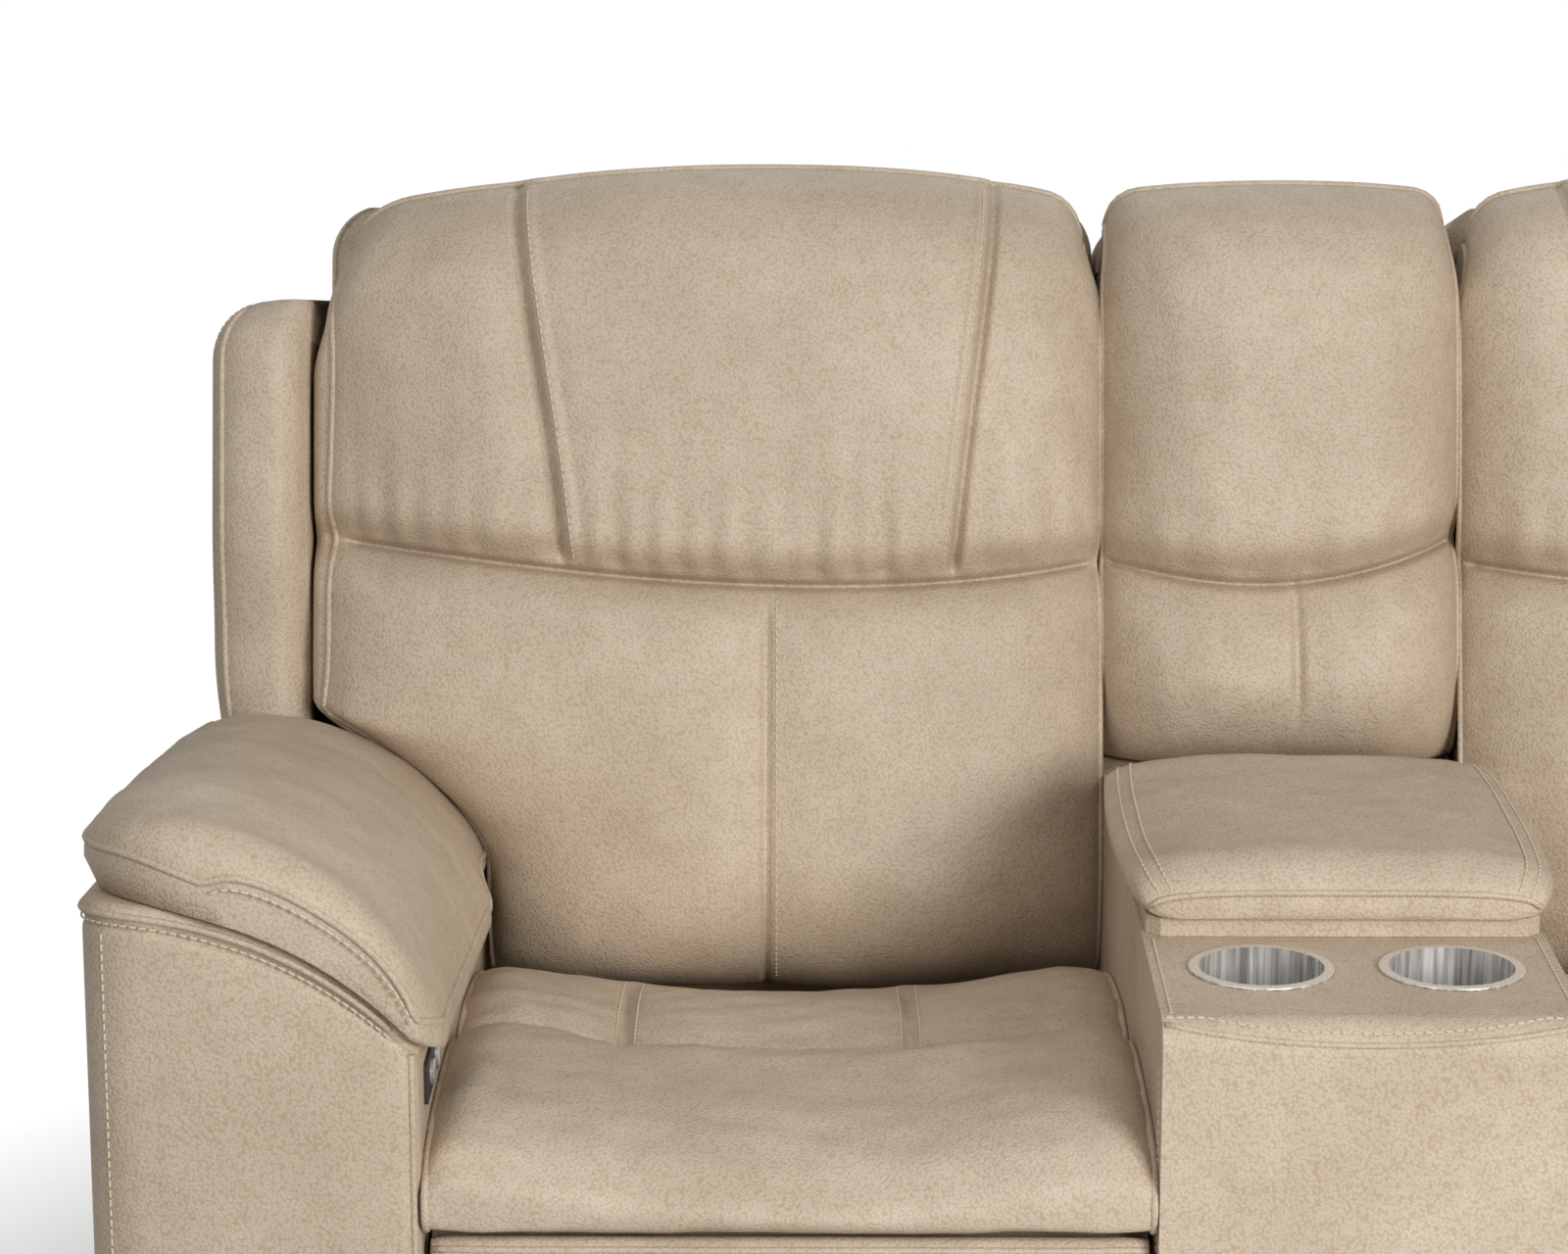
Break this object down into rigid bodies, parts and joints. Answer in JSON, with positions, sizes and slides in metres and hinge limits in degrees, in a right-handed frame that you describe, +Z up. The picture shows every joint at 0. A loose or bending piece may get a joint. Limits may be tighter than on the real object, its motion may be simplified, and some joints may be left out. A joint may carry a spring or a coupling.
{
  "type": "power reclining loveseat",
  "caption": "Power reclining loveseat with padded wings, pillow arms, swing-out footrests and a console with storage lid and steel cup holders.",
  "frame": {"origin": "floor level under the middle of the bounding box, with the footrests stowed and the backs upright", "axes": "+Z up, the front faces -Y, +X is the viewer's right from the front"},
  "size_m": [1.758, 0.9779, 1.0514],
  "materials": {
    "leather": "taupe pebbled leather over foam",
    "wood": "plywood and softwood",
    "steel": "black painted steel",
    "stainless": "brushed stainless steel",
    "black_plastic": "moulded black plastic",
    "spring_steel": "oiled spring wire"
  },
  "bodies": {
    "base": {"left_arm_frame": "wood", "right_arm_frame": "wood", "left_arm_cover": "leather", "right_arm_cover": "leather", "left_arm_pad": "leather", "right_arm_pad": "leather", "base_rails": "wood", "feet": "black_plastic", "rear_panel": "leather", "console_box": "wood", "console_cover": "leather", "left_cup_holder": "stainless", "right_cup_holder": "stainless", "console_back_frame": "wood", "console_back_cushion": "leather", "console_back_shell": "leather", "control_panels": "black_plastic", "power_supply": "black_plastic", "lid_hinge_fixed_leaf": "steel", "side_plates": "steel", "left_seat_frame": "wood", "right_seat_frame": "wood", "seat_springs": "spring_steel", "left_seat_cushion": "leather", "right_seat_cushion": "leather", "left_drive_unit": "black_plastic", "right_drive_unit": "black_plastic"},
    "lid": {"lid_hinge_moving_leaf": "steel", "lid_board": "leather", "lid_pad": "leather"},
    "left_back": {"left_back_frame": "wood", "left_back_brackets": "steel", "left_back_cushion": "leather", "left_back_shell": "leather"},
    "left_back_yoke_body": {"left_back_yoke": "steel"},
    "left_drive_links": {"left_foot_drive_links": "steel"},
    "left_guide_links": {"left_foot_guide_links": "steel"},
    "left_carry_links": {"left_foot_carry_links": "steel"},
    "left_tilt_links": {"left_foot_tilt_links": "steel"},
    "left_footrest": {"left_footrest_brackets": "steel", "left_footrest_board": "wood", "left_footrest_pad": "leather"},
    "left_foot_yoke_body": {"left_foot_yoke": "steel"},
    "left_open_button_body": {"left_open_button": "stainless"},
    "left_close_button_body": {"left_close_button": "stainless"},
    "right_back": {"right_back_frame": "wood", "right_back_brackets": "steel", "right_back_cushion": "leather", "right_back_shell": "leather"},
    "right_back_yoke_body": {"right_back_yoke": "steel"},
    "right_drive_links": {"right_foot_drive_links": "steel"},
    "right_guide_links": {"right_foot_guide_links": "steel"},
    "right_carry_links": {"right_foot_carry_links": "steel"},
    "right_tilt_links": {"right_foot_tilt_links": "steel"},
    "right_footrest": {"right_footrest_brackets": "steel", "right_footrest_board": "wood", "right_footrest_pad": "leather"},
    "right_foot_yoke_body": {"right_foot_yoke": "steel"},
    "right_open_button_body": {"right_open_button": "stainless"},
    "right_close_button_body": {"right_close_button": "stainless"}
  },
  "joints": [
    {"name": "lid_open", "type": "hinge", "parent": "base", "child": "lid", "pos_m": [0, 0.048, 0.58], "axis": [-1, 0, 0], "range_deg": [0, 70]},
    {"name": "left_recline", "type": "hinge", "parent": "base", "child": "left_back", "pos_m": [-0.395, 0.15, 0.35], "axis": [-1, 0, 0], "range_deg": [0, 35]},
    {"name": "left_back_drive", "type": "slide", "parent": "base", "child": "left_back_yoke_body", "axis": [0, -1, 0], "range_m": [0, 0.04831]},
    {"name": "left_footrest_open", "type": "hinge", "parent": "base", "child": "left_drive_links", "pos_m": [-0.395, -0.33, 0.32], "axis": [-1, 0, 0], "range_deg": [0, 90]},
    {"name": "left_guide_swing", "type": "hinge", "parent": "base", "child": "left_guide_links", "pos_m": [-0.395, -0.28468, 0.29887], "axis": [-1, 0, 0], "range_deg": [0, 90]},
    {"name": "left_carry_fold", "type": "hinge", "parent": "left_drive_links", "child": "left_carry_links", "pos_m": [-0.395, -0.26944, 0.09397], "axis": [-1, 0, 0], "range_deg": [-90, 0]},
    {"name": "left_tilt_fold", "type": "hinge", "parent": "left_drive_links", "child": "left_tilt_links", "pos_m": [-0.395, -0.26944, 0.13897], "axis": [-1, 0, 0], "range_deg": [-90, 0]},
    {"name": "left_footrest_tilt", "type": "hinge", "parent": "left_carry_links", "child": "left_footrest", "pos_m": [-0.395, -0.425, 0.249], "axis": [-1, 0, 0], "range_deg": [0, 90]},
    {"name": "left_foot_drive", "type": "slide", "parent": "base", "child": "left_foot_yoke_body", "axis": [0, -1, 0], "range_m": [0, 0.05677]},
    {"name": "left_open_press", "type": "slide", "parent": "base", "child": "left_open_button_body", "axis": [-1, 0, 0], "range_m": [0, 0.0015], "stiffness_N_per_m": 700, "springref_m": -0.0008},
    {"name": "left_close_press", "type": "slide", "parent": "base", "child": "left_close_button_body", "axis": [-1, 0, 0], "range_m": [0, 0.0015], "stiffness_N_per_m": 700, "springref_m": -0.0008},
    {"name": "right_recline", "type": "hinge", "parent": "base", "child": "right_back", "pos_m": [0.395, 0.15, 0.35], "axis": [-1, 0, 0], "range_deg": [0, 35]},
    {"name": "right_back_drive", "type": "slide", "parent": "base", "child": "right_back_yoke_body", "axis": [0, -1, 0], "range_m": [0, 0.04831]},
    {"name": "right_footrest_open", "type": "hinge", "parent": "base", "child": "right_drive_links", "pos_m": [0.395, -0.33, 0.32], "axis": [-1, 0, 0], "range_deg": [0, 90]},
    {"name": "right_guide_swing", "type": "hinge", "parent": "base", "child": "right_guide_links", "pos_m": [0.395, -0.28468, 0.29887], "axis": [-1, 0, 0], "range_deg": [0, 90]},
    {"name": "right_carry_fold", "type": "hinge", "parent": "right_drive_links", "child": "right_carry_links", "pos_m": [0.395, -0.26944, 0.09397], "axis": [-1, 0, 0], "range_deg": [-90, 0]},
    {"name": "right_tilt_fold", "type": "hinge", "parent": "right_drive_links", "child": "right_tilt_links", "pos_m": [0.395, -0.26944, 0.13897], "axis": [-1, 0, 0], "range_deg": [-90, 0]},
    {"name": "right_footrest_tilt", "type": "hinge", "parent": "right_carry_links", "child": "right_footrest", "pos_m": [0.395, -0.425, 0.249], "axis": [-1, 0, 0], "range_deg": [0, 90]},
    {"name": "right_foot_drive", "type": "slide", "parent": "base", "child": "right_foot_yoke_body", "axis": [0, -1, 0], "range_m": [0, 0.05677]},
    {"name": "right_open_press", "type": "slide", "parent": "base", "child": "right_open_button_body", "axis": [1, 0, 0], "range_m": [0, 0.0015], "stiffness_N_per_m": 700, "springref_m": -0.0008},
    {"name": "right_close_press", "type": "slide", "parent": "base", "child": "right_close_button_body", "axis": [1, 0, 0], "range_m": [0, 0.0015], "stiffness_N_per_m": 700, "springref_m": -0.0008}
  ],
  "couplings": [
    {"joint": "left_back_drive", "follows": "left_recline", "m_per_rad": 0.078762},
    {"joint": "left_guide_swing", "follows": "left_footrest_open", "ratio": 1},
    {"joint": "left_carry_fold", "follows": "left_footrest_open", "ratio": -1},
    {"joint": "left_tilt_fold", "follows": "left_footrest_open", "ratio": -1},
    {"joint": "left_footrest_tilt", "follows": "left_footrest_open", "ratio": 1},
    {"joint": "left_foot_drive", "follows": "left_footrest_open", "m_per_rad": 0.036013},
    {"joint": "right_back_drive", "follows": "right_recline", "m_per_rad": 0.078762},
    {"joint": "right_guide_swing", "follows": "right_footrest_open", "ratio": 1},
    {"joint": "right_carry_fold", "follows": "right_footrest_open", "ratio": -1},
    {"joint": "right_tilt_fold", "follows": "right_footrest_open", "ratio": -1},
    {"joint": "right_footrest_tilt", "follows": "right_footrest_open", "ratio": 1},
    {"joint": "right_foot_drive", "follows": "right_footrest_open", "m_per_rad": 0.036013}
  ]
}
